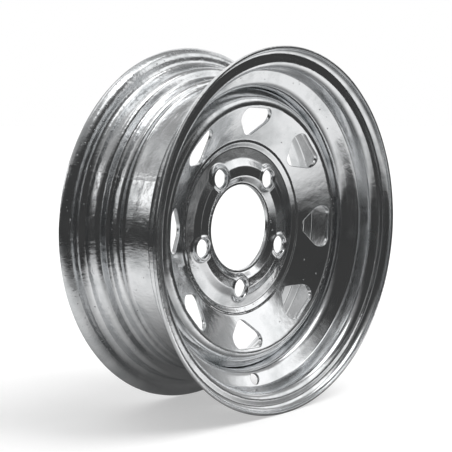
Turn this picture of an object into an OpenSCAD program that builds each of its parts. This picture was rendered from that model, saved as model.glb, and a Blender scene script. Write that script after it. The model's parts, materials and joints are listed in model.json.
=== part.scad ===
// Pressed steel trailer wheel: a rolled drop-centre rim with a dished disc welded into its well.
// The wheel turns about Y and its outer face looks to -Y. Z is up.
// The origin is the middle of the face that bears on the hub.
// Sections are drawn as [radius, station], where the station runs forward from the hub face.

/* [Rim] */
// Width between the tyre-side faces of the two flanges
rim_width = 101.6; // [88.9:12.7:114.3]
// Diameter of the bead seats at the flanges
seat_diameter = 304; // [300:1:310]
// Height of the flanges above the bead seats
flange_height = 17.3; // [15:0.1:20]
// Radius of the flange's outward curl on the tyre side
curl_radius = 9.5; // [8:0.5:11]
// Straight lip past the top of the curl
lip_length = 0.6; // [0.3:0.1:3]
// Slope of the bead seats
seat_angle = 5; // [4:0.5:6]
// Width of each bead seat
seat_width = 19.8; // [18:0.1:21]
// Radius where a bead seat turns up into its flange
seat_fillet = 6.5; // [5:0.5:7]
// Radius where a bead seat turns down into the well
hump_radius = 5; // [4:0.5:7]
// Thickness of the rim strip
rim_sheet = 2.5; // [2:0.1:3]

/* [Well] */
// Depth of the well below the bead seats
well_depth = 17.3; // [16:0.1:20]
// Foot of the well's front wall, forward of the rim's middle plane
well_front = 24; // [22:0.5:25]
// Foot of the well's rear wall, behind the rim's middle plane
well_rear = 18; // [17:0.5:22]
// Radius at the feet of the well's walls
well_fillet = 8; // [6:0.5:9]
// Diameter of the valve hole
valve_hole = 11.3; // [11:0.1:12]
// Height of the valve hole above the floor of the well
valve_height = 6.8; // [6.5:0.1:8]
// Width of the butt weld that closes the hoop
seam_width = 4; // [3:0.5:6]
// Height of the trimmed butt weld
seam_height = 0.3; // [0.2:0.1:0.5]
// Angle of the butt weld from +X towards +Z
seam_angle = 157.5; // [0:0.5:360]

/* [Hub fit] */
// Distance from the rim's middle plane forward to the hub face
offset_forward = 0; // [-3:0.5:2]
// Diameter of the hub bore
bore_diameter = 81; // [76:0.5:84]
// Diameter of the bolt circle
bolt_circle = 114.3; // [112:0.1:116]
// Number of lug holes
lug_count = 5; // [4:1:5]
// Diameter of the lug holes
lug_hole = 16; // [14:0.1:17]
// Diameter at the mouth of the lug seats
lug_mouth = 19; // [18:0.1:19.5]
// Included angle of the lug seats
lug_cone = 60; // [60:5:90]
// Angle of the first lug hole, the first window and the valve hole from +X towards +Z
clock_angle = -93.2; // [-180:0.1:180]

/* [Disc] */
// Thickness of the disc
disc_sheet = 4.2; // [3.6:0.1:4.6]
// Flat land round the hub bore
land_width = 2.5; // [2.2:0.1:3.5]
// Rise of the lug ring above the land
ring_rise = 3.8; // [3:0.1:4.5]
// Inner edge of the lug ring, in from the bolt circle
ring_inside = 8.3; // [7.5:0.1:8.5]
// Outer edge of the lug ring, out from the bolt circle
ring_outside = 3.5; // [2.5:0.1:5]
// Run of the slope from the lug ring down to the valley
ring_slope = 4.4; // [4:0.1:5.5]
// Width of the valley that bears on the hub
valley_width = 5.6; // [5:0.1:6]
// Rise of the stiffening ridge above the valley
ridge_rise = 4.4; // [3.5:0.1:5]
// Run of the ridge's inner slope
ridge_slope = 5.2; // [5:0.1:6]
// Width of the ridge's top
ridge_width = 3.6; // [3.5:0.1:4.5]
// Run of the ridge's outer slope
ridge_back = 3.6; // [3.6:0.1:4.5]
// Fall of the ridge's outer slope
ridge_fall = 1.9; // [1.6:0.1:2.4]
// Slope of the dish
dish_angle = 27.7; // [24:0.1:29]
// Run of the crown's outer slope
crown_run = 12.5; // [11.5:0.1:13]
// Slope of the crown's outer side
crown_angle = 45; // [40:1:48]
// Radius of the crown
crown_radius = 9; // [7:0.5:9]
// Radius where the crown turns back into its flange
shoulder_radius = 8; // [6:0.5:9]
// Radius of the bends at the tops of the nave's ring and ridge
top_bend = 5; // [4.8:0.1:5]
// Radius of the bends at the feet of the nave's slopes
foot_bend = 2.5; // [2:0.1:3]
// Height of the lug bosses above the lug ring
boss_height = 0.6; // [0.3:0.1:1]
// Radius of a lug boss at its top
boss_radius = 11; // [10.5:0.1:11.5]
// Draft of the boss walls
boss_draft = 30; // [20:1:35]

/* [Windows] */
// Number of windows
window_count = 8; // [6:1:8]
// Radius of the circle through the middles of the windows
window_circle = 100; // [99.5:0.1:100.3]
// Extent of a window along the wheel's radius
window_height = 25.5; // [20:0.1:25.5]
// Greatest width of a window
window_width = 40; // [34:0.5:42]
// Radius of the inner end of a window
window_tip = 9.5; // [7:0.5:10.5]
// Radius of the two outer corners of a window
window_corner = 8; // [5:0.5:10]

/* [Welds] */
// Number of stitch welds
weld_count = 8; // [4:1:8]
// Length of a stitch weld
weld_length = 40; // [25:1:50]
// Leg of the fillet
weld_leg = 4; // [3:0.1:4.2]
// Gap left round the pressed flange
press_gap = 0.05; // [0:0.01:0.1]

/* [Hidden] */
$fn = 96;
// Turn of each short step in a bend
bend_step = 9;
// Overrun of cutters past the faces that they cut
overrun = 1;
zinc = [0.74, 0.76, 0.78];
weld_grey = [0.62, 0.64, 0.66];

// Rim stations and radii, on the tyre side
rim_middle = -offset_forward;
seat_radius = seat_diameter / 2;
flange_radius = seat_radius + flange_height;
lip_station = rim_width / 2 + curl_radius + lip_length;
hump_station = rim_width / 2 - seat_width;
hump_radius_out = seat_radius - seat_width * tan(seat_angle);
well_radius = seat_radius - well_depth;
well_inside = well_radius - rim_sheet;
wall_rise = hump_radius_out - well_radius;
front_wall_angle = atan2(wall_rise, hump_station - well_front);
rear_wall_angle = atan2(wall_rise, hump_station - well_rear);
well_flat_rear = rim_middle - well_rear + well_fillet * tan(rear_wall_angle / 2);
valve_radius = well_radius + valve_height;
valve_station = well_front + valve_height / tan(front_wall_angle);
seam_sweep = seam_width / seat_radius * 180 / PI;

// Rim section between its two lips, from rear to front: radius, station and bend radius
function rim_path(lip) = [
    [flange_radius, -lip, 0],
    [flange_radius, -rim_width / 2, curl_radius],
    [seat_radius, -rim_width / 2, seat_fillet],
    [hump_radius_out, -hump_station, hump_radius],
    [well_radius, -well_rear, well_fillet],
    [well_radius, well_front, well_fillet],
    [hump_radius_out, hump_station, hump_radius],
    [seat_radius, rim_width / 2, seat_fillet],
    [flange_radius, rim_width / 2, curl_radius],
    [flange_radius, lip, 0]
];

// Disc radii and stations, on the front side
bore_radius = bore_diameter / 2;
lug_radius = bolt_circle / 2;
land_end = bore_radius + land_width;
ring_start = lug_radius - ring_inside;
ring_end = lug_radius + ring_outside;
valley_start = ring_end + ring_slope;
valley_end = valley_start + valley_width;
ridge_start = valley_end + ridge_slope;
ridge_end = ridge_start + ridge_width;
dish_start = ridge_end + ridge_back;
disc_radius = well_inside - press_gap;
crown_corner = disc_radius - crown_run;
ring_station = disc_sheet + ring_rise;
ridge_station = disc_sheet + ridge_rise;
dish_station = ridge_station - ridge_fall;
crown_station = dish_station + (crown_corner - dish_start) * tan(dish_angle);
shoulder_station = crown_station - crown_run * tan(crown_angle);
flange_end = well_flat_rear + weld_leg + overrun;
boss_station = ring_station + boss_height;

// Disc section, from the hub bore to the end of the flange in the well
disc_path = [
    [bore_radius - overrun, disc_sheet, 0],
    [land_end, disc_sheet, foot_bend],
    [ring_start, ring_station, top_bend],
    [ring_end, ring_station, top_bend],
    [valley_start, disc_sheet, foot_bend],
    [valley_end, disc_sheet, foot_bend],
    [ridge_start, ridge_station, top_bend],
    [ridge_end, ridge_station, top_bend],
    [dish_start, dish_station, foot_bend],
    [crown_corner, crown_station, crown_radius],
    [disc_radius, shoulder_station, shoulder_radius],
    [disc_radius, flange_end, 0]
];

// Radius and station of a path corner
function place(corner) = [corner.x, corner.y];

// Direction of travel between two corners
function heading(from, to) = (place(to) - place(from)) / norm(place(to) - place(from));

// A direction turned to the left by an angle
function turned(v, angle) = [v.x * cos(angle) - v.y * sin(angle), v.x * sin(angle) + v.y * cos(angle)];

// Points of the bend at a corner, moved to the left of the path by shift
function bend(from, corner, to, shift) =
    let (
        inward = heading(from, corner),
        outward = heading(corner, to),
        turn = atan2(cross(inward, outward), inward * outward),
        hand = sign(turn),
        radius = corner.z,
        left = turned(inward, 90),
        start = place(corner) - inward * radius * tan(abs(turn) / 2),
        centre = start + left * hand * radius,
        steps = ceil(abs(turn) / bend_step)
    )
    [for (i = [0 : steps]) centre - turned(left, turn * i / steps) * hand * (radius - hand * shift)];

// A path with its bends, moved to the left by shift
function track(path, shift) =
    let (
        last = len(path) - 1,
        first_left = turned(heading(path[0], path[1]), 90),
        last_left = turned(heading(path[last - 1], path[last]), 90)
    )
    concat(
        [place(path[0]) + first_left * shift],
        [for (i = [1 : last - 1]) each bend(path[i - 1], path[i], path[i + 1], shift)],
        [place(path[last]) + last_left * shift]
    );

// A list from its last entry to its first
function backwards(list) = [for (i = [len(list) - 1 : -1 : 0]) list[i]];

// Section of a sheet between two tracks of a path, given by their shifts to the left
module sheet_section(path, near, far) {
    polygon(concat(track(path, near), backwards(track(path, far))));
}

// Lays a shape that stands on Z along the wheel's axle, its top to the front
module on_axle() {
    rotate([90, 0, 0]) children();
}

// Copies of a shape spread evenly round the axle
module around(count, first) {
    for (i = [0 : count - 1]) rotate([0, 0, first + i * 360 / count]) children();
}

// Cutter for the valve hole, square to the front wall of the well
module valve_cutter() {
    rotate([0, 0, clock_angle])
        translate([valve_radius, 0, valve_station])
        rotate([0, front_wall_angle - 90, 0])
        cylinder(d = valve_hole, h = 6 * rim_sheet, center = true);
}

// Rolled rim: two curled flanges, two bead seats and the well between them
module rim_barrel() {
    color(zinc)
        on_axle()
        translate([0, 0, rim_middle])
        difference() {
            union() {
                rotate_extrude() sheet_section(rim_path(lip_station), 0, rim_sheet);
                rotate([0, 0, seam_angle])
                    rotate_extrude(angle = seam_sweep)
                    sheet_section(rim_path(lip_station - lip_length / 2), -seam_height, rim_sheet / 2);
            }
            valve_cutter();
        }
}

// Points of an arc between two angles, in short steps
function arc(centre, radius, from, to) =
    let (steps = ceil(abs(to - from) / bend_step))
    [for (i = [0 : steps])
        let (angle = from + (to - from) * i / steps)
        centre + radius * [cos(angle), sin(angle)]];

// Window outline: a round inner end and two round outer corners joined by straight sides
module window_outline() {
    tip = [window_circle - window_height / 2 + window_tip, 0];
    corner = [window_circle + window_height / 2 - window_corner, window_width / 2 - window_corner];
    run = corner - tip;
    side = atan2(run.y, run.x) + acos((window_tip - window_corner) / norm(run));
    polygon(concat(
        arc(corner, window_corner, 0, side),
        arc(tip, window_tip, side, 360 - side),
        arc([corner.x, -corner.y], window_corner, -side, 0)
    ));
}

// Raised boss under a lug nut
module boss() {
    translate([lug_radius, 0, boss_station - ring_rise])
        cylinder(r1 = boss_radius + ring_rise * tan(boss_draft), r2 = boss_radius, h = ring_rise);
}

// Hollow behind a boss, which leaves the boss as thick as the disc
module boss_hollow() {
    depth = boss_station - disc_sheet + overrun;
    roof = boss_radius + disc_sheet * tan(boss_draft) - disc_sheet / cos(boss_draft);
    translate([lug_radius, 0, -overrun])
        cylinder(r1 = roof + depth * tan(boss_draft), r2 = roof, h = depth);
}

// Lug hole with its coned seat opening to the front
module lug_cutter() {
    seat_depth = (lug_mouth - lug_hole) / 2 / tan(lug_cone / 2);
    translate([lug_radius, 0, 0]) {
        cylinder(d = lug_hole, h = boss_station + overrun);
        translate([0, 0, boss_station - seat_depth])
            cylinder(d1 = lug_hole, d2 = lug_mouth, h = seat_depth);
    }
}

// Pressed disc: hub bore, lug ring, valley, ridge, dish with windows, crown and flange
module centre_disc() {
    color(zinc)
        on_axle()
        difference() {
            union() {
                rotate_extrude() sheet_section(disc_path, 0, -disc_sheet);
                around(lug_count, clock_angle) boss();
            }
            cylinder(d = bore_diameter, h = 4 * disc_sheet, center = true);
            around(lug_count, clock_angle) boss_hollow();
            around(lug_count, clock_angle) lug_cutter();
            around(window_count, clock_angle)
                linear_extrude(crown_station + overrun) window_outline();
        }
}

// Stitch welds between the end of the disc's flange and the floor of the well
module weld_beads() {
    sweep = weld_length / well_inside * 180 / PI;
    gap_angle = 360 / window_count / 2;
    color(weld_grey)
        on_axle()
        around(weld_count, clock_angle + gap_angle - sweep / 2)
        rotate_extrude(angle = sweep)
        intersection() {
            translate([well_inside, flange_end]) circle(r = weld_leg);
            translate([well_inside - weld_leg, flange_end - weld_leg]) square(weld_leg);
        }
}

rim_barrel();
centre_disc();
weld_beads();
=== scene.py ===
import json
import math
import bmesh
import bpy
import numpy as np
from mathutils import Matrix, Vector


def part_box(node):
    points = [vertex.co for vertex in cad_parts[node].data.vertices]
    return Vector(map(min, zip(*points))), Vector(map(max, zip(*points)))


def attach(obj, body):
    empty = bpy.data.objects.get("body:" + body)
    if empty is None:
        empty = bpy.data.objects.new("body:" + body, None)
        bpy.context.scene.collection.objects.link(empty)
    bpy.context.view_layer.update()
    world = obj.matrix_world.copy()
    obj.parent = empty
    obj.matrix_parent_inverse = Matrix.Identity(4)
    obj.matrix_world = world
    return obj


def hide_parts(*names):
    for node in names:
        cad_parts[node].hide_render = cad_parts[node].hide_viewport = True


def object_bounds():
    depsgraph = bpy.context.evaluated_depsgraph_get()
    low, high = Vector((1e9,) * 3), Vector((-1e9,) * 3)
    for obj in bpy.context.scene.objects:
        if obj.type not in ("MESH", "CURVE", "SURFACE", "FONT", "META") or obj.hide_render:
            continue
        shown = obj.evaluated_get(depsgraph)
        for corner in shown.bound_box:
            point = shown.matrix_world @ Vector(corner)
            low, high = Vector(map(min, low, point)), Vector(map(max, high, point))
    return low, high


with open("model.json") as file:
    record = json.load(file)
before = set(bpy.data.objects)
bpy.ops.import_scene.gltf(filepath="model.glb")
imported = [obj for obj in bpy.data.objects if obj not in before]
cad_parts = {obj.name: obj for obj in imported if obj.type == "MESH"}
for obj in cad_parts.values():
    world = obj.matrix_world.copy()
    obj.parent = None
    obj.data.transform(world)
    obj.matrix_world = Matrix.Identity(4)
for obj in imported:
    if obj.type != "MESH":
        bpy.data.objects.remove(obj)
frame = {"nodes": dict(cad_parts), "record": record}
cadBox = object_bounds()
print("frame loaded:", ", ".join(sorted(frame["nodes"])))

mm = 0.001
mounts = {mount["name"]: mount for mount in frame["record"]["mounts"]}
boltRadius = mounts["hub_bolts"]["dims"]["pcd_mm"] * mm / 2
lugHoleRadius = mounts["hub_bolts"]["dims"]["hole_r_mm"] * mm
lugCount = mounts["hub_bolts"]["dims"]["count"]
lugPitch = 2 * math.pi / lugCount
boreRadius = mounts["hub_bore"]["dims"]["r_mm"] * mm
valveHoleRadius = mounts["valve_hole"]["dims"]["r_mm"] * mm
clockAngle = math.atan2(mounts["valve_hole"]["pos_m"][2], mounts["valve_hole"]["pos_m"][0])


# how finely sections and cuts are drawn, and how near two points are to count as one
fineness = {
    "arcPoints": 40, "rowLength": 2.2 * mm, "rowTurn": math.radians(8), "cutPoints": 4, "cutReach": 0.9,
    "same": 1e-6, "slack": 1e-9,
}


# sheet metal paths

def bentPath(corners):
    # straight runs joined by arcs tangent to both runs, as radius and station,
    # with the length so far and the unit normal to the left of travel
    place = np.array([corner[:2] for corner in corners], float)
    heading = np.diff(place, axis=0)
    heading /= np.linalg.norm(heading, axis=1)[:, None]
    left = heading[:, ::-1] * (-1, 1)
    points, normals = [place[:1]], [left[:1]]
    for before, after, side, corner in zip(heading, heading[1:], left, corners[1:-1]):
        turn = math.atan2(before[0] * after[1] - before[1] * after[0], before @ after)
        hand = math.copysign(1, turn)
        bend = corner[2]
        swing = np.linspace(0, turn, fineness["arcPoints"])[:, None]
        normal = side * np.cos(swing) + side[::-1] * (-1, 1) * np.sin(swing)
        centre = np.array(corner[:2]) - before * bend * math.tan(abs(turn) / 2) + side * hand * bend
        points.append(centre - normal * hand * bend)
        normals.append(normal)
    point = np.concatenate(points + [place[-1:]])
    normal = np.concatenate(normals + [left[-1:]])
    step = np.linalg.norm(np.diff(point, axis=0), axis=1)
    swing = np.arccos(np.clip((normal[1:] * normal[:-1]).sum(1), -1, 1))
    return {
        "length": np.concatenate([[0], np.cumsum(step)]),
        "turning": np.concatenate([[0], np.cumsum(swing)]),
        "point": point,
        "normal": normal,
    }


def onPath(path, length, shift):
    # radius and station at a length along the path, moved to its left by shift
    def mixed(key, k):
        return np.interp(length, path["length"], path[key][:, k])
    return [mixed("point", k) + shift * mixed("normal", k) for k in (0, 1)]


def lengthAt(path, radius, shift):
    # length at which a side of an outward-running path has this radius
    reach = path["point"][:, 0] + shift * path["normal"][:, 0]
    rising = np.arange(len(reach)) <= reach.argmax()
    return np.interp(radius, np.maximum.accumulate(reach[rising]), path["length"][rising])


def rowPlaces(path, zones):
    # lengths of the rows: even in length plus turning, so that bends get most of them
    measure = path["length"] / fineness["rowLength"] + path["turning"] / fineness["rowTurn"]
    places = []
    for start, end, cells in zones:
        low, high = np.interp([start, end], path["length"], measure)
        places.append(np.interp(np.linspace(low, high, cells + 1), measure, path["length"]))
    return np.concatenate([places[0]] + [row[1:] for row in places[1:]])


def spun(theta, radius, station):
    # a section turned about the axle by an angle from +X towards +Z
    return np.stack(np.broadcast_arrays(radius * np.cos(theta), -station, radius * np.sin(theta)), -1)


# meshes from grids

class Skin:
    # gathers grids of points, welds the points that meet and makes one closed mesh
    def __init__(self):
        self.points, self.quads, self.coarse, self.count = [], [], [], 0

    def grid(self, points, keep=None, coarse=1.0):
        rows, columns = points.shape[-3:-1]
        index = self.count + np.arange(points.size // 3).reshape(-1, rows, columns)
        quads = np.stack([index[:, :-1, :-1], index[:, :-1, 1:], index[:, 1:, 1:], index[:, 1:, :-1]], -1)
        self.points.append(points.reshape(-1, 3))
        self.coarse.append(np.full(points.size // 3, coarse))
        self.quads.append(quads.reshape(-1, 4) if keep is None else quads[0][keep])
        self.count += points.size // 3

    def piece(self, name, relief=None):
        points, quads = np.concatenate(self.points), np.concatenate(self.quads)
        cell = np.round(points / fineness["same"]).astype(np.int64)
        first, same = np.unique(cell, axis=0, return_index=True, return_inverse=True)[1:]
        quads = same.reshape(-1)[quads]
        used, quads = np.unique(quads, return_inverse=True)
        points, quads = points[first][used], quads.reshape(-1, 4)
        mesh = bpy.data.meshes.new(name)
        mesh.vertices.add(len(points))
        mesh.vertices.foreach_set("co", points.astype(np.float32).ravel())
        # a quad that narrows to a point at a pole keeps three of its corners
        corner = quads != np.roll(quads, 1, axis=1)
        sizes = corner.sum(1)
        mesh.loops.add(int(sizes.sum()))
        mesh.loops.foreach_set("vertex_index", quads[corner].astype(np.int32))
        mesh.polygons.add(len(quads))
        mesh.polygons.foreach_set("loop_start", (np.cumsum(sizes) - sizes).astype(np.int32))
        mesh.polygons.foreach_set("use_smooth", np.ones(len(quads), bool))
        mesh.update(calc_edges=True)
        mesh.validate()
        work = bmesh.new()
        work.from_mesh(mesh)
        bmesh.ops.recalc_face_normals(work, faces=work.faces)
        work.to_mesh(mesh)
        work.free()
        if relief is not None:
            normals = np.zeros(len(mesh.vertices) * 3, np.float32)
            mesh.vertex_normals.foreach_get("vector", normals)
            points = points + normals.reshape(-1, 3) * relief(points)[:, None]
            points = np.clip(points, cadBox[0], cadBox[1])
            mesh.vertices.foreach_set("co", points.astype(np.float32).ravel())
            mesh.update()
        coarse = np.concatenate(self.coarse)[first][used].astype(np.float32)
        mesh.attributes.new("coarse", "FLOAT", "POINT").data.foreach_set("value", coarse)
        made = bpy.data.objects.new(name, mesh)
        bpy.context.scene.collection.objects.link(made)
        print(name, "has", len(quads), "quads")
        return made


def aroundHole(surface, theta, length, outline, rings):
    # rings between a rectangle of the grid and a hole: edge + (hole - edge) * share
    across, up = len(theta) - 1, len(length) - 1
    edgeTheta = np.concatenate([
        theta[:-1], np.full(up, theta[-1]), theta[:0:-1], np.full(up + 1, theta[0]),
    ])
    edgeLength = np.concatenate([
        np.full(across, length[0]), length[:-1], np.full(across, length[-1]), length[::-1],
    ])
    holeTheta, holeLength = outline(edgeTheta, edgeLength)
    share = np.linspace(0, 1, rings)[:, None]
    ringTheta = edgeTheta + (holeTheta - edgeTheta) * share
    return surface(ringTheta, edgeLength + (holeLength - edgeLength) * share)


def roundedCut(loops, edge):
    # a cut from face to face through loops of points, with each corner a quadratic Bezier curve
    bend = edge * fineness["cutReach"]
    share = np.linspace(0, 1, fineness["cutPoints"])[:, None, None]
    rows = [loops[0][None]]
    for before, corner, after in zip(loops, loops[1:], loops[2:]):
        back, on = before - corner, after - corner
        start = corner + back * bend / np.linalg.norm(back, axis=-1, keepdims=True)
        end = corner + on * bend / np.linalg.norm(on, axis=-1, keepdims=True)
        rows.append((1 - share) ** 2 * start + 2 * share * (1 - share) * corner + share ** 2 * end)
    return np.concatenate(rows + [loops[-1][None]])


def fromMiddle(angle, pitch):
    # angle from the middle of the nearest of a ring of equal places, the first of them below the axle
    return (angle - clockAngle + pitch / 2) % pitch - pitch / 2


def softMax(a, b, blend):
    # the greater of two heights with a smooth change between them
    near = np.maximum(blend - np.abs(a - b), 0)
    return np.maximum(a, b) + near ** 2 / (4 * blend)


waveShape = {"stretch": (0.7, 1.4), "phase": 6.28}


def unevenness(seed, waves):
    # sum of sine waves in random directions: height * sin(point . wave + phase)
    random = np.random.default_rng(seed)
    parts = []
    for height, wavelength, count in waves:
        direction = random.normal(size=(3, count))
        direction /= np.linalg.norm(direction, axis=0)
        stretch = random.uniform(*waveShape["stretch"], count)
        wave = direction * 2 * math.pi / (wavelength * stretch)
        parts.append((height, wave, random.uniform(0, waveShape["phase"], count)))

    def relief(points):
        return sum(h * np.sin(points @ k + p).mean(1) * math.sqrt(len(p)) for h, k, p in parts)
    return relief


# rolled rim

# seamPlaces and seamClear count half widths of the butt weld
rimShape = {
    "width": 101.6 * mm, "seatRadius": 152 * mm, "flangeHeight": 17.3 * mm, "curl": 9.5 * mm, "lip": 0.6 * mm,
    "seatSlope": math.tan(math.radians(5)), "seatWidth": 19.8 * mm, "seatFillet": 6.5 * mm, "hump": 5 * mm,
    "wellDepth": 17.3 * mm, "wellFront": 24 * mm, "wellFillet": 8 * mm, "sheet": 2.5 * mm, "edge": 0.6 * mm,
    "ledgeWidth": 13 * mm, "ledgeHeight": 5.3 * mm, "stepRun": 1.8 * mm, "stepBend": 3.5 * mm,
    "joggle": (-4 * mm, 3 * mm), "joggleDrop": 0.45 * mm, "joggleBend": 25 * mm,
    "seamAngle": math.radians(157.5), "seamWidth": 1.5 * mm, "seamHeight": 0.06 * mm,
    "seamPlaces": (0.8, 1.2, 1.6), "seamClear": 2, "valvePatch": 9 * mm, "valveSpread": 1.6, "valveRows": 16,
    "valveRings": 10, "wallPoints": 300, "columns": 320, "rearRows": 86, "frontRows": 26,
    "airSideCoarse": 0.3, "seed": 3, "unevenness": [(0.05 * mm, 40 * mm, 10), (0.02 * mm, 14 * mm, 12)],
}


def rimCorners(shape):
    # the tyre side from the rear lip to the front lip, as radius, station and bend
    half, seat = shape["width"] / 2, shape["seatRadius"]
    flange, well = seat + shape["flangeHeight"], seat - shape["wellDepth"]
    lip = half + shape["curl"] + shape["lip"]
    hump, humpRadius = half - shape["seatWidth"], seat - shape["seatWidth"] * shape["seatSlope"]
    ledge, ledgeRear = well + shape["ledgeHeight"], hump - shape["stepRun"]
    ledgeFront = ledgeRear - shape["ledgeWidth"]
    return [
        (flange, -lip, 0),
        (flange, -half, shape["curl"]),
        (seat, -half, shape["seatFillet"]),
        (humpRadius, -hump, shape["hump"]),
        (ledge, -ledgeRear, shape["stepBend"]),
        (ledge, -ledgeFront, shape["stepBend"]),
        (well, shape["stepRun"] - ledgeFront, shape["stepBend"]),
        (well, shape["joggle"][0], shape["joggleBend"]),
        (well - shape["joggleDrop"], shape["joggle"][1], shape["joggleBend"]),
        (well - shape["joggleDrop"], shape["wellFront"], shape["wellFillet"]),
        (humpRadius, hump, shape["hump"]),
        (seat, half, shape["seatFillet"]),
        (flange, half, shape["curl"]),
        (flange, lip, 0),
    ]


def buildRim(shape):
    # each side of the sheet is the section turned about the axle, a grid of length by angle,
    # raised along the butt weld and ringed about the valve hole
    path = bentPath(rimCorners(shape))
    edge, end = shape["edge"], path["length"][-1]
    valvePoint = mounts["valve_hole"]["pos_m"]
    valvePlace = np.array([math.hypot(valvePoint[0], valvePoint[2]), -valvePoint[1]])
    middle = np.linalg.norm(path["point"] - valvePlace, axis=1).argmin()
    wallRun = path["normal"][middle] @ [[0, -1], [1, 0]]
    low, high = path["length"][middle] + shape["valvePatch"] * np.array([-1, 1])
    nearWall = np.linspace(low - edge, high + edge, shape["wallPoints"])
    rows = rowPlaces(path, [
        (edge, low, shape["rearRows"]),
        (low, high, shape["valveRows"]),
        (high, end - edge, shape["frontRows"]),
    ])
    theta = np.linspace(-math.pi, math.pi, shape["columns"] + 1)
    seamHalf = shape["seamWidth"] / shape["seatRadius"] / 2
    seamMiddle = (shape["seamAngle"] + seamHalf - clockAngle + math.pi) % (2 * math.pi) - math.pi
    away = np.abs(theta - seamMiddle)
    seamPlaces = np.array(shape["seamPlaces"])
    seamEdges = seamMiddle + seamHalf * np.concatenate([-seamPlaces, seamPlaces])
    theta = clockAngle + np.sort(np.concatenate([theta[away > shape["seamClear"] * seamHalf], seamEdges]))

    def side(shift):
        def surface(angle, length):
            fromSeam = np.abs(angle - clockAngle - seamMiddle) / seamHalf
            inBead = np.clip((seamPlaces[-1] - fromSeam) / (seamPlaces[-1] - seamPlaces[0]), 0, 1)
            bead = shape["seamHeight"] * inBead ** 2 * (3 - 2 * inBead) if shift == 0 else 0
            return spun(angle, *onPath(path, length, shift - bead))
        return surface

    def upWall(length, shift):
        place = np.stack(onPath(path, length, shift), -1) - valvePlace
        return place @ wallRun

    def valveOutline(shift, radius):
        def outline(angle, length):
            reach = onPath(path, length, shift)[0]
            bearing = np.arctan2(upWall(length, shift), reach * (angle - clockAngle))
            holeLength = np.interp(radius * np.sin(bearing), upWall(nearWall, shift), nearWall)
            holeReach = onPath(path, holeLength, shift)[0]
            return clockAngle + radius * np.cos(bearing) / holeReach, holeLength
        return outline

    skin = Skin()
    slack = fineness["slack"]
    patchHalf = shape["valvePatch"] / valvePlace[0] * shape["valveSpread"]
    patchTheta = theta[np.abs(theta - clockAngle) < patchHalf]
    patchRows = rows[(rows > low - slack) & (rows < high + slack)]
    inColumn = (theta[:-1] >= patchTheta[0] - slack) & (theta[1:] <= patchTheta[-1] + slack)
    inRow = (rows[:-1] >= low - slack) & (rows[1:] <= high + slack)
    keep = ~(inRow[:, None] & inColumn)
    loops = []
    for shift, coarse in ((0, 1.0), (shape["sheet"], shape["airSideCoarse"])):
        surface = side(shift)
        skin.grid(surface(theta, rows[:, None]), keep, coarse)
        grown, exact = valveOutline(shift, valveHoleRadius + edge), valveOutline(shift, valveHoleRadius)
        outer = aroundHole(surface, patchTheta, patchRows, grown, shape["valveRings"])
        inner = aroundHole(surface, patchTheta, patchRows, exact, 2)
        skin.grid(outer, None, coarse)
        loops.append([outer[-1], inner[-1]])
    skin.grid(roundedCut([loops[0][0], loops[0][1], loops[1][1], loops[1][0]], edge))
    for place, inside in ((0, edge), (end, end - edge)):
        tyreSide, airSide = side(0), side(shape["sheet"])
        skin.grid(roundedCut([
            tyreSide(theta, inside), tyreSide(theta, place), airSide(theta, place), airSide(theta, inside),
        ], edge))
    return skin.piece("rimBarrelSkin", unevenness(shape["seed"], shape["unevenness"]))


# pressed disc

# zoneEnds are the radii between the bands of rows, lead is the angle before the first lug hole and window
discShape = {
    "sheet": 4.2 * mm, "edge": 0.6 * mm, "boreMargin": 1 * mm, "land": 2.5 * mm, "ringRise": 3.8 * mm,
    "ringInside": 8.3 * mm, "ringOutside": 1.3 * mm, "topBend": 5 * mm, "footBend": 2.5 * mm,
    "upperSlope": 6.8 * mm, "kneeDrop": 2.5 * mm, "kneeBend": 12 * mm, "lowerSlope": 10.95 * mm,
    "ridgeRise": 2.5 * mm, "ridgeSlope": 4.2 * mm, "ridgeLand": 2.65 * mm, "ridgeBend": 3 * mm,
    "dishSlope": math.tan(math.radians(27.7)), "crownRun": 12.5 * mm, "crownBend": 9 * mm,
    "shoulderBend": 8 * mm,
    "bossHeight": 0.6 * mm, "bossRadius": 11 * mm, "bossDraft": math.radians(30),
    "bossBlend": 2.4 * mm, "rearBlend": 0.5 * mm, "lugMouth": 9.5 * mm, "lugCone": math.radians(30),
    "windows": 8, "windowMiddle": 100 * mm, "windowHeight": 25.5 * mm, "windowWidth": 40 * mm,
    "windowTip": 9.5 * mm, "windowCorner": 8 * mm, "cornerPoints": 60, "windowPoints": 900,
    "columns": 320, "lead": math.radians(22.5), "zoneEnds": (42.8 * mm, 72 * mm, 82 * mm, 116.5 * mm),
    "frontRows": (3, 36, 12, 28, 30), "rearRows": (2, 36, 8, 28, 20),
    "lugZone": 1, "lugColumns": 16, "windowZone": 3, "windowColumns": 13, "rings": 11,
    "seed": 5, "unevenness": [(0.05 * mm, 45 * mm, 10), (0.02 * mm, 16 * mm, 12)],
}


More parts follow.
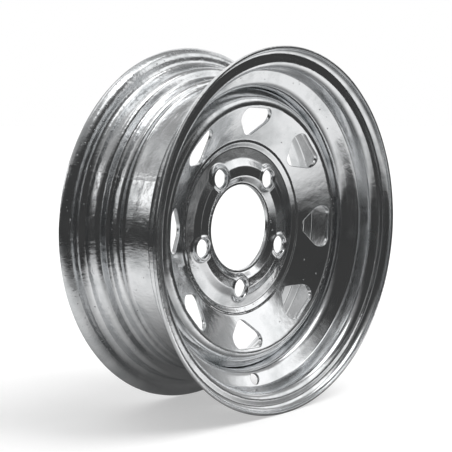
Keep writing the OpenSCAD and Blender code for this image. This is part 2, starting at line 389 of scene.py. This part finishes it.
def discCorners(shape):
    # the front of the sheet from the bore to the rear edge of the flange, as radius, station and bend
    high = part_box("centre_disc")[1]
    sheet, rim = shape["sheet"], high.x
    land = boreRadius + shape["land"]
    ringStart, ringEnd = boltRadius - shape["ringInside"], boltRadius + shape["ringOutside"]
    knee = ringEnd + shape["upperSlope"]
    crease = knee + shape["lowerSlope"]
    ridge = crease + shape["ridgeSlope"]
    dish, crown = ridge + shape["ridgeLand"], rim - shape["crownRun"]
    ringTop, ridgeTop = sheet + shape["ringRise"], sheet + shape["ridgeRise"]
    crownTop = ridgeTop + (crown - dish) * shape["dishSlope"]
    return [
        (boreRadius - shape["boreMargin"], sheet, 0),
        (land, sheet, shape["footBend"]),
        (ringStart, ringTop, shape["topBend"]),
        (ringEnd, ringTop, shape["topBend"]),
        (knee, ringTop - shape["kneeDrop"], shape["kneeBend"]),
        (crease, sheet, shape["footBend"]),
        (ridge, ridgeTop, shape["ridgeBend"]),
        (dish, ridgeTop, shape["footBend"]),
        (crown, crownTop, shape["crownBend"]),
        (rim, crownTop - shape["crownRun"], shape["shoulderBend"]),
        (rim, -high.y, 0),
    ]


def windowOutline(shape, grow):
    # a round tip and two round outer corners joined by straight sides, along and across the radius
    tipRadius, cornerRadius = shape["windowTip"] + grow, shape["windowCorner"] + grow
    tip = np.array([shape["windowMiddle"] - shape["windowHeight"] / 2 + shape["windowTip"], 0])
    corner = np.array([shape["windowMiddle"] + shape["windowHeight"] / 2 - shape["windowCorner"],
                       shape["windowWidth"] / 2 - shape["windowCorner"]])
    run = corner - tip
    side = math.atan2(run[1], run[0]) + math.acos((tipRadius - cornerRadius) / np.linalg.norm(run))

    def arc(centre, radius, start, stop):
        turn = np.linspace(start, stop, shape["cornerPoints"])
        return centre + radius * np.stack([np.cos(turn), np.sin(turn)], -1)

    points = np.concatenate([
        arc(corner, cornerRadius, 0, side),
        arc(tip, tipRadius, side, 2 * math.pi - side),
        arc(corner * (1, -1), cornerRadius, -side, 0),
        corner[None] + (cornerRadius, 0),
    ])
    run = np.concatenate([[0], np.cumsum(np.linalg.norm(np.diff(points, axis=0), axis=1))])
    even = np.linspace(0, run[-1], shape["windowPoints"])
    return np.stack([np.interp(even, run, points[:, k]) for k in (0, 1)], -1)


def buildDisc(shape):
    # each side of the sheet is the section turned about the axle, with the greater of its station and
    # the lug bosses' height, and ringed about the lug holes and windows
    path = bentPath(discCorners(shape))
    edge, end = shape["edge"], path["length"][-1]
    sheet = shape["sheet"]
    bossTop = sheet + shape["ringRise"] + shape["bossHeight"]
    step = 2 * math.pi / shape["columns"]
    theta = clockAngle - shape["lead"] + np.arange(shape["columns"] + 1) * step
    windowPitch = 2 * math.pi / shape["windows"]
    zoneEnds = lengthAt(path, np.array(shape["zoneEnds"]), 0)
    roof = shape["bossRadius"] + sheet * math.tan(shape["bossDraft"]) - sheet / math.cos(shape["bossDraft"])
    bosses = {
        0: (bossTop, shape["bossRadius"], shape["bossBlend"]),
        -sheet: (bossTop - sheet, roof, shape["rearBlend"]),
    }

    def side(shift):
        top, flat, blend = bosses[shift]

        def surface(angle, length):
            radius, station = onPath(path, length, shift)
            turn = fromMiddle(angle, lugPitch)
            away = np.hypot(radius * np.cos(turn) - boltRadius, radius * np.sin(turn))
            boss = top - np.maximum(away - flat, 0) / math.tan(shape["bossDraft"])
            return spun(angle, radius, softMax(station, boss, blend))
        return surface

    def holeOutline(shift, middle, pitch, ray):
        def outline(angle, length):
            reach = onPath(path, length, shift)[0]
            centre = angle - fromMiddle(angle, pitch)
            turn = fromMiddle(angle, pitch)
            bearing = np.arctan2(reach * np.sin(turn), reach * np.cos(turn) - middle)
            along, across = middle + ray(bearing) * np.cos(bearing), ray(bearing) * np.sin(bearing)
            return centre + np.arctan2(across, along), lengthAt(path, np.hypot(along, across), shift)
        return outline

    def windowRay(grow):
        points = windowOutline(shape, grow) - (shape["windowMiddle"], 0)
        bearing = np.arctan2(points[:, 1], points[:, 0])
        order = np.argsort(bearing)
        reach = np.hypot(*points[order].T)
        return lambda angle: np.interp(angle, bearing[order], reach, period=2 * math.pi)

    def circleRay(radius):
        return lambda angle: np.full_like(angle, radius)

    skin = Skin()
    patches = [
        (lugPitch, lugCount, boltRadius, shape["lugColumns"], shape["lugZone"]),
        (windowPitch, shape["windows"], shape["windowMiddle"], shape["windowColumns"], shape["windowZone"]),
    ]
    wells = {}
    for shift, cells, lugRadius in ((0, shape["frontRows"], shape["lugMouth"]),
                                    (-sheet, shape["rearRows"], lugHoleRadius)):
        surface = side(shift)
        bounds = [lengthAt(path, boreRadius + edge, shift), *zoneEnds, end - edge]
        rows = rowPlaces(path, list(zip(bounds, bounds[1:], cells)))
        breaks = np.concatenate([[0], np.cumsum(cells)])
        keep = np.ones((len(rows) - 1, shape["columns"]), bool)
        for pitch, count, middle, half, zone in patches:
            low, high = breaks[zone:zone + 2]
            isLug = pitch == lugPitch
            grown = circleRay(lugRadius + edge) if isLug else windowRay(edge)
            exact = circleRay(lugRadius) if isLug else windowRay(0)
            for k in range(count):
                centre = round((shape["lead"] + k * pitch) / step)
                keep[low:high, centre - half:centre + half] = False
                place = theta[centre - half:centre + half + 1], rows[low:high + 1]
                rings = aroundHole(surface, *place, holeOutline(shift, middle, pitch, grown), shape["rings"])
                mouth = aroundHole(surface, *place, holeOutline(shift, middle, pitch, exact), 2)
                skin.grid(rings)
                wells.setdefault((pitch, k), []).append((rings[-1], mouth[-1]))
        skin.grid(surface(theta, rows[:, None]), keep)
    seatDepth = (shape["lugMouth"] - lugHoleRadius) / math.tan(shape["lugCone"])
    for (pitch, k), ((frontOut, frontEdge), (rearOut, rearEdge)) in wells.items():
        loops = [frontOut, frontEdge, rearEdge, rearOut]
        if pitch == lugPitch:
            coneFoot = rearEdge * (1, 0, 1) - np.array([0, bossTop - seatDepth, 0])
            loops.insert(2, coneFoot)
        skin.grid(roundedCut(loops, edge))
    front, rear = side(0), side(-sheet)
    bore, aroundBore = ([lengthAt(path, radius, shift) for shift in (0, -sheet)]
                        for radius in (boreRadius, boreRadius + edge))
    for places, inside in ((bore, aroundBore), ([end, end], [end - edge, end - edge])):
        skin.grid(roundedCut([
            front(theta, inside[0]), front(theta, places[0]), rear(theta, places[1]), rear(theta, inside[1]),
        ], edge))
    return skin.piece("centreDiscSkin", unevenness(shape["seed"], shape["unevenness"]))


# stitch welds behind the disc

weldShape = {
    "count": 8, "length": 40 * mm, "leg": 4 * mm, "ripple": 0.18 * mm, "ripplePitch": 2.4 * mm,
    "endPower": 6, "steps": 90, "arcPoints": 12,
}


def buildWelds(shape):
    # quarter-round fillets in the corner between the disc's flange and the well, swelling in ripples
    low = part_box("weld_beads")[0]
    corner = np.array([rimShape["seatRadius"] - rimShape["wellDepth"] - rimShape["sheet"], -low.y])
    sweep = shape["length"] / corner[0]
    along = np.linspace(-1, 1, shape["steps"])[:, None]
    taper = np.sqrt(np.clip(1 - np.abs(along) ** shape["endPower"], 0, 1))
    ripple = np.abs(np.sin(along * shape["length"] / 2 * math.pi / shape["ripplePitch"]))
    leg = (shape["leg"] - shape["ripple"] * (1 - ripple)) * taper
    turn = np.linspace(0, math.pi / 2, shape["arcPoints"])
    arcRadius, arcStation = -leg * np.sin(turn), -leg * np.cos(turn)
    nook = np.zeros_like(leg)
    radius = corner[0] + np.concatenate([nook, arcRadius, nook], 1)
    station = corner[1] + np.concatenate([nook, arcStation, nook], 1)
    skin = Skin()
    for k in range(shape["count"]):
        middle = clockAngle + (k + 0.5) * 2 * math.pi / shape["count"]
        skin.grid(spun(middle + along * sweep / 2, radius, station))
    return skin.piece("weldBeadSkin")


# nodules of zinc left by the dip: reach is a radius on the disc and a share of the section on the rim,
# turn is a range of angles about the axle in degrees
noduleShape = {
    "seed": 11, "size": (0.35 * mm, 0.9 * mm), "clear": 2 * mm, "sides": 8,
    "profile": [(0, 0.45), (0.6, 0.29), (1, 0), (0, -0.45)],
    "disc": [
        {"reach": (77 * mm, 80 * mm), "turn": (110, 290), "count": 130},
        {"reach": (84 * mm, 112 * mm), "turn": (0, 360), "count": 60},
        {"reach": (117 * mm, 121 * mm), "turn": (-60, 30), "count": 70},
        {"reach": (boreRadius + 1.5 * mm, boreRadius + 5 * mm), "turn": (0, 360), "count": 40},
    ],
    "tyreSide": [
        {"reach": (0.02, 0.12), "turn": (90, 230), "count": 120},
        {"reach": (0.12, 0.62), "turn": (90, 230), "count": 120},
    ],
    "airSide": [
        {"reach": (0.66, 0.80), "turn": (40, 110), "count": 20},
        {"reach": (0.66, 0.93), "turn": (-60, 40), "count": 24},
    ],
}


def clearOfWindows(shape, radius, angle, margin):
    # true where a place on the disc is outside the rectangles about its windows
    turn = fromMiddle(angle, 2 * math.pi / shape["windows"])
    along = np.abs(radius * np.cos(turn) - shape["windowMiddle"]) - shape["windowHeight"] / 2
    across = np.abs(radius * np.sin(turn)) - shape["windowWidth"] / 2
    return np.maximum(along, across) > margin


def buildNodules(shape):
    # lenses: a profile of width and height turned about the sheet's normal,
    # along = width * cos(turn), across = width * sin(turn)
    random = np.random.default_rng(shape["seed"])
    width, high = np.array(shape["profile"]).T[..., None]
    turn = np.linspace(0, 2 * math.pi, shape["sides"] + 1)
    along, across, high = np.broadcast_arrays(width * np.cos(turn), width * np.sin(turn), high)
    rimPath, discPath = bentPath(rimCorners(rimShape)), bentPath(discCorners(discShape))
    skin = Skin()
    for sheet, path, shift, out in (("disc", discPath, 0, 1), ("tyreSide", rimPath, 0, -1),
                                    ("airSide", rimPath, rimShape["sheet"], 1)):
        for group in shape[sheet]:
            reach = random.uniform(*group["reach"], group["count"])
            length = lengthAt(path, reach, shift) if sheet == "disc" else reach * path["length"][-1]
            angle = np.radians(random.uniform(*group["turn"], group["count"]))
            size = random.uniform(*shape["size"], group["count"]) ** 2 / shape["size"][1]
            if sheet == "disc":
                onMetal = clearOfWindows(discShape, reach, angle, shape["clear"])
                length, angle, size = length[onMetal], angle[onMetal], size[onMetal]
            radius, station = onPath(path, length, shift)
            nearRadius, nearStation = onPath(path, length, shift + out * mm)
            middle = spun(angle, radius, station)
            normal = (spun(angle, nearRadius, nearStation) - middle) / mm
            level = np.stack([-np.sin(angle), np.zeros_like(angle), np.cos(angle)], -1)
            upward = np.cross(normal, level)
            lens = (level[:, None, None] * along[..., None] + upward[:, None, None] * across[..., None]
                    + normal[:, None, None] * high[..., None])
            skin.grid(middle[:, None, None] + lens * size[:, None, None, None])
    return skin.piece("zincNodules")


rim = buildRim(rimShape)
disc = buildDisc(discShape)
welds = buildWelds(weldShape)
nodules = buildNodules(noduleShape)


# shader maths

class Wire:
    # a socket whose arithmetic adds Math nodes to its tree
    def __init__(self, tree, socket=None):
        self.tree, self.socket = tree, socket

    def node(self, kind, settings=None, inputs=None, output=0):
        made = self.tree.nodes.new(kind)
        for name, value in (settings or {}).items():
            setattr(made, name, value)
        for name, value in (inputs or {}).items():
            if isinstance(value, Wire):
                self.tree.links.new(value.socket, made.inputs[name])
            else:
                made.inputs[name].default_value = value
        return Wire(self.tree, made.outputs[output]) if made.outputs else None

    def math(self, operation, first, second):
        return self.node("ShaderNodeMath", {"operation": operation}, {0: first, 1: second})

    def __add__(self, other):
        return self.math("ADD", self, other)

    def __sub__(self, other):
        return self.math("SUBTRACT", self, other)

    def __rsub__(self, other):
        return self.math("SUBTRACT", other, self)

    def __mul__(self, other):
        return self.math("MULTIPLY", self, other)

    __radd__, __rmul__ = __add__, __mul__

    def clipped(self, low, high):
        limits = {"From Min": low, "From Max": high}
        return self.node("ShaderNodeMapRange", {"clamp": True}, {"Value": self} | limits)

    def eased(self, start, stop, least=0.0):
        # a soft step from least at start to 1 at stop
        limits = {"From Min": start, "From Max": stop, "To Min": least}
        return self.node("ShaderNodeMapRange", {"interpolation_type": "SMOOTHSTEP"}, {"Value": self} | limits)

    def along(self, direction):
        vectors = {0: self, 1: direction}
        return self.node("ShaderNodeVectorMath", {"operation": "DOT_PRODUCT"}, vectors, "Value")


def material(name):
    made = bpy.data.materials.new(name)
    made.use_nodes = True
    made.node_tree.nodes.clear()
    return made, Wire(made.node_tree)


def finishMaterial(wire, inputs):
    shader = wire.node("ShaderNodeBsdfPrincipled", None, inputs)
    wire.node("ShaderNodeOutputMaterial", None, {"Surface": shader})


zincLook = {
    "colour": (0.80, 0.81, 0.82, 1), "dull": (0.58, 0.60, 0.61, 1), "roughness": 0.12, "roughSpread": 0.18,
    "cloudScale": 28.0, "cloudDetail": 4.0, "cloudRange": (0.45, 0.75),
    "mottleScale": 140.0, "mottleDetail": 3.0,
    "smearScale": 60.0, "smearRange": (0.35, 0.65), "fineDetail": 2.0,
}
rimLook = zincLook | {
    "strokes": (340, 90, 340), "strokeDepth": 0.24 * mm, "mottleDepth": 0.30 * mm,
    "grain": (900, 260, 900), "grainDepth": 0.05 * mm,
}
discLook = zincLook | {
    "strokes": (160, 160, 160), "strokeDepth": 0.10 * mm, "mottleDepth": 0.16 * mm,
    "grain": (700, 700, 700), "grainDepth": 0.012 * mm,
}
weldLook = zincLook | {
    "strokes": (500, 500, 500), "strokeDepth": 0.10 * mm, "mottleDepth": 0.10 * mm,
    "grain": (900, 900, 900), "grainDepth": 0.020 * mm, "roughness": 0.2,
}


def zincMaterial(name, look):
    # height = (strokes + grain + mottle) * the mesh's own coarse value; dull patches are rougher
    made, wire = material(name)
    place = wire.node("ShaderNodeTexCoord", None, None, "Object")

    def noise(vector, scale, detail):
        return wire.node("ShaderNodeTexNoise", None, {"Vector": vector, "Scale": scale, "Detail": detail})

    def stretched(scale):
        vector = wire.node("ShaderNodeMapping", None, {"Vector": place, "Scale": scale})
        return noise(vector, 1.0, look["fineDetail"])

    smeared = noise(place, look["smearScale"], look["fineDetail"]).clipped(*look["smearRange"])
    strokes = (stretched(look["strokes"]) - 0.5) * smeared * look["strokeDepth"]
    grain = stretched(look["grain"]) * look["grainDepth"]
    mottle = noise(place, look["mottleScale"], look["mottleDetail"]) * look["mottleDepth"]
    coarse = wire.node("ShaderNodeAttribute", {"attribute_name": "coarse"}, None, "Fac")
    height = (strokes + grain + mottle) * coarse
    bump = wire.node("ShaderNodeBump", None, {"Height": height, "Distance": 1.0, "Strength": 1.0})
    dullness = noise(place, look["cloudScale"], look["cloudDetail"]).clipped(*look["cloudRange"])
    mixed = {0: dullness, 6: look["colour"], 7: look["dull"]}
    colour = wire.node("ShaderNodeMix", {"data_type": "RGBA"}, mixed, 2)
    finishMaterial(wire, {
        "Base Color": colour, "Metallic": 1.0, "Normal": bump,
        "Roughness": look["roughness"] + dullness * look["roughSpread"],
    })
    return made


zincPieces = [
    (rim, "rim_barrel", "rim_zinc", rimLook),
    (disc, "centre_disc", "disc_zinc", discLook),
    (welds, "weld_beads", "weld_zinc", weldLook),
]
for piece, node, slot, look in zincPieces:
    piece.data.materials.append(zincMaterial(slot, look))
    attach(piece, "root")
    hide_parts(node)
nodules.data.materials.append(welds.data.materials[0])
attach(nodules, "root")
print("pieces ride on the frame")


# floor, light and camera

cameraShape = {
    "place": (-0.9414, -0.8312, 0.1360), "back": (-0.73982, -0.66428, 0.10678), "lens": 106.28, "sensor": 36,
}


def buildCamera(shape):
    data = bpy.data.cameras.new("camera")
    data.lens, data.sensor_width = shape["lens"], shape["sensor"]
    camera = bpy.data.objects.new("camera", data)
    back = Vector(shape["back"]).normalized()
    right = Vector((0, 0, 1)).cross(back).normalized()
    turn = Matrix((right, back.cross(right), back)).transposed()
    camera.matrix_world = Matrix.Translation(shape["place"]) @ turn.to_4x4()
    bpy.context.scene.collection.objects.link(camera)
    bpy.context.scene.camera = camera


stageShape = {
    "reach": 8.0, "roughness": 0.7, "floorGrey": 0.55, "floorGlow": 0.45, "paperGrey": 0.02,
    "paperFront": 0.55, "paperBehind": 1.2, "paperRight": 0.66, "paperLeft": 1.1, "paperGlow": 0.96,
    # the paper's glow is painted light, and the foot entries paint the wheel's shadow on it
    "frontFade": (0.08, 0.50), "leftFade": (0.20, 1.08), "footLow": (-0.03, -0.03), "footHigh": (0.26, 0.09),
    "footFade": 0.28, "footShadowLevel": 0.08,
    "fill": 2.4, "fillAngle": math.radians(45), "fillLean": (0.6, -0.6, 1),
}
forward = Vector(cameraShape["back"][:2] + (0,)).normalized()
aside = Vector((0, 0, 1)).cross(forward)


def paperLight(wire, shape):
    # painted light on the paper, in its glow: it fades towards its front and left edges, and a painted shadow
    # of the wheel darkens it towards the wheel's foot
    place = wire.node("ShaderNodeTexCoord", None, None, "Object")
    lit = shape["paperGlow"]
    for toward, (start, stop) in ((forward, shape["frontFade"]), (-aside, shape["leftFade"])):
        lit = lit * place.along(toward).eased(stop, start)
    # painted shadow of the wheel: darkest within a box about its foot, lightening with distance from it
    past = []
    for axis, low, high in zip(((1, 0, 0), (0, 1, 0)), shape["footLow"], shape["footHigh"]):
        spot = place.along(axis)
        past.append(wire.math("MAXIMUM", wire.math("MAXIMUM", low - spot, spot - high), 0))
    distance = wire.math("SQRT", past[0] * past[0] + past[1] * past[1], 0)
    return lit * distance.eased(0, shape["footFade"], shape["footShadowLevel"])


def buildFloor(shape):
    # a wide floor that the metal does not mirror and a sheet of paper that only the metal mirrors, which
    # glows with painted light and a painted shadow of the wheel
    level = Vector((0, 0, cadBox[0].z))
    reach = shape["reach"]
    paper = [shape["paper" + side] for side in ("Front", "Behind", "Left", "Right")]
    for name, (front, behind, left, right) in (("floor", [reach] * 4), ("paper", paper)):
        mirrored = name == "paper"
        made, wire = material(name)
        grey = shape[name + "Grey"]
        finishMaterial(wire, {
            "Base Color": (grey, grey, grey, 1), "Roughness": shape["roughness"],
            "Emission Strength": 1 if mirrored else shape["floorGlow"],
            "Emission Color": paperLight(wire, shape) if mirrored else (1, 1, 1, 1),
        })
        mesh = bpy.data.meshes.new(name)
        corners = [(front, -left), (front, right), (-behind, right), (-behind, -left)]
        mesh.from_pydata([level + forward * a + aside * b for a, b in corners], [], [(0, 1, 2, 3)])
        mesh.materials.append(made)
        sheet = bpy.data.objects.new(name, mesh)
        bpy.context.scene.collection.objects.link(sheet)
        sheet.visible_camera = sheet.visible_shadow = sheet.visible_diffuse = not mirrored
        sheet.visible_glossy = mirrored
    data = bpy.data.lights.new("fill", "SUN")
    data.energy, data.angle = shape["fill"], shape["fillAngle"]
    lamp = bpy.data.objects.new("fill", data)
    lamp.rotation_euler = Vector(shape["fillLean"]).to_track_quat("Z", "Y").to_euler()
    lamp.visible_glossy = False
    bpy.context.scene.collection.objects.link(lamp)


# panels of light about the room, in degrees: azimuth from -Y towards +X, elevation, half sizes and soft edge;
# a later panel covers an earlier one
roomLook = {
    "dark": 0.05, "backdrop": 1.0,
    "panels": [
        {"azimuth": 0, "elevation": 90, "across": 400, "up": 40, "soft": 20, "level": 0.45},
        {"azimuth": -150, "elevation": 50, "across": 50, "up": 20, "soft": 16, "level": 0.36},
        {"azimuth": 70, "elevation": 26, "across": 24, "up": 20, "soft": 10, "level": 0.4},
        {"azimuth": 100, "elevation": -8, "across": 12, "up": 8, "soft": 4, "level": 0.14},
        {"azimuth": 95, "elevation": 28, "across": 16, "up": 8, "soft": 5, "level": 1.0},
        {"azimuth": 140, "elevation": 8, "across": 32, "up": 34, "soft": 6, "level": 1.0},
        {"azimuth": -158, "elevation": 36, "across": 10, "up": 10, "soft": 9, "level": 0.7},
        {"azimuth": 180, "elevation": 60, "across": 40, "up": 6, "soft": 4, "level": 1.3},
        {"azimuth": -137, "elevation": 20, "across": 5, "up": 10, "soft": 8, "level": 1.6},
        {"azimuth": 36, "elevation": 35, "across": 11, "up": 15, "soft": 8, "level": 1.35},
        {"azimuth": 49, "elevation": 23, "across": 14, "up": 12, "soft": 4, "level": 1.2},
        {"azimuth": 30, "elevation": 1, "across": 6, "up": 5, "soft": 4, "level": 0.3},
        {"azimuth": 10, "elevation": 66, "across": 55, "up": 9, "soft": 3, "level": 2.2},
        {"azimuth": 0, "elevation": 90, "across": 400, "up": 15, "soft": 4, "level": 1.6},
    ],
}


def buildRoom(look):
    # a panel's share is a soft box in azimuth times one in elevation; the camera sees the backdrop alone
    world = bpy.data.worlds.new("studio")
    bpy.context.scene.world = world
    world.use_nodes = True
    world.node_tree.nodes.clear()
    wire = Wire(world.node_tree)
    toward = wire.node("ShaderNodeTexCoord", None, None, "Generated")

    def background(level):
        return wire.node("ShaderNodeBackground", None, {"Color": (1, 1, 1, 1), "Strength": level})

    def within(offset, half, soft):
        return wire.math("ABSOLUTE", offset, 0).eased(half + soft, half - soft)

    elevation = wire.math("ARCSINE", toward.along((0, 0, 1)), 0)
    room = background(look["dark"])
    for panel in look["panels"]:
        turn, height, across, up, soft = (
            math.radians(panel[key]) for key in ("azimuth", "elevation", "across", "up", "soft")
        )
        ahead = toward.along((math.sin(turn), -math.cos(turn), 0))
        sideways = toward.along((math.cos(turn), math.sin(turn), 0))
        offset = wire.math("ARCTAN2", sideways, ahead)
        share = within(offset, across, soft) * within(elevation - height, up, soft)
        room = wire.node("ShaderNodeMixShader", None, {0: share, 1: room, 2: background(panel["level"])})
    seen = wire.node("ShaderNodeLightPath", None, None, "Is Camera Ray")
    shown = wire.node("ShaderNodeMixShader", None, {0: seen, 1: room, 2: background(look["backdrop"])})
    wire.node("ShaderNodeOutputWorld", None, {"Surface": shown})


buildFloor(stageShape)
buildCamera(cameraShape)
buildRoom(roomLook)
bpy.context.scene.view_settings.view_transform = "Standard"
print("stage, light and camera are set")
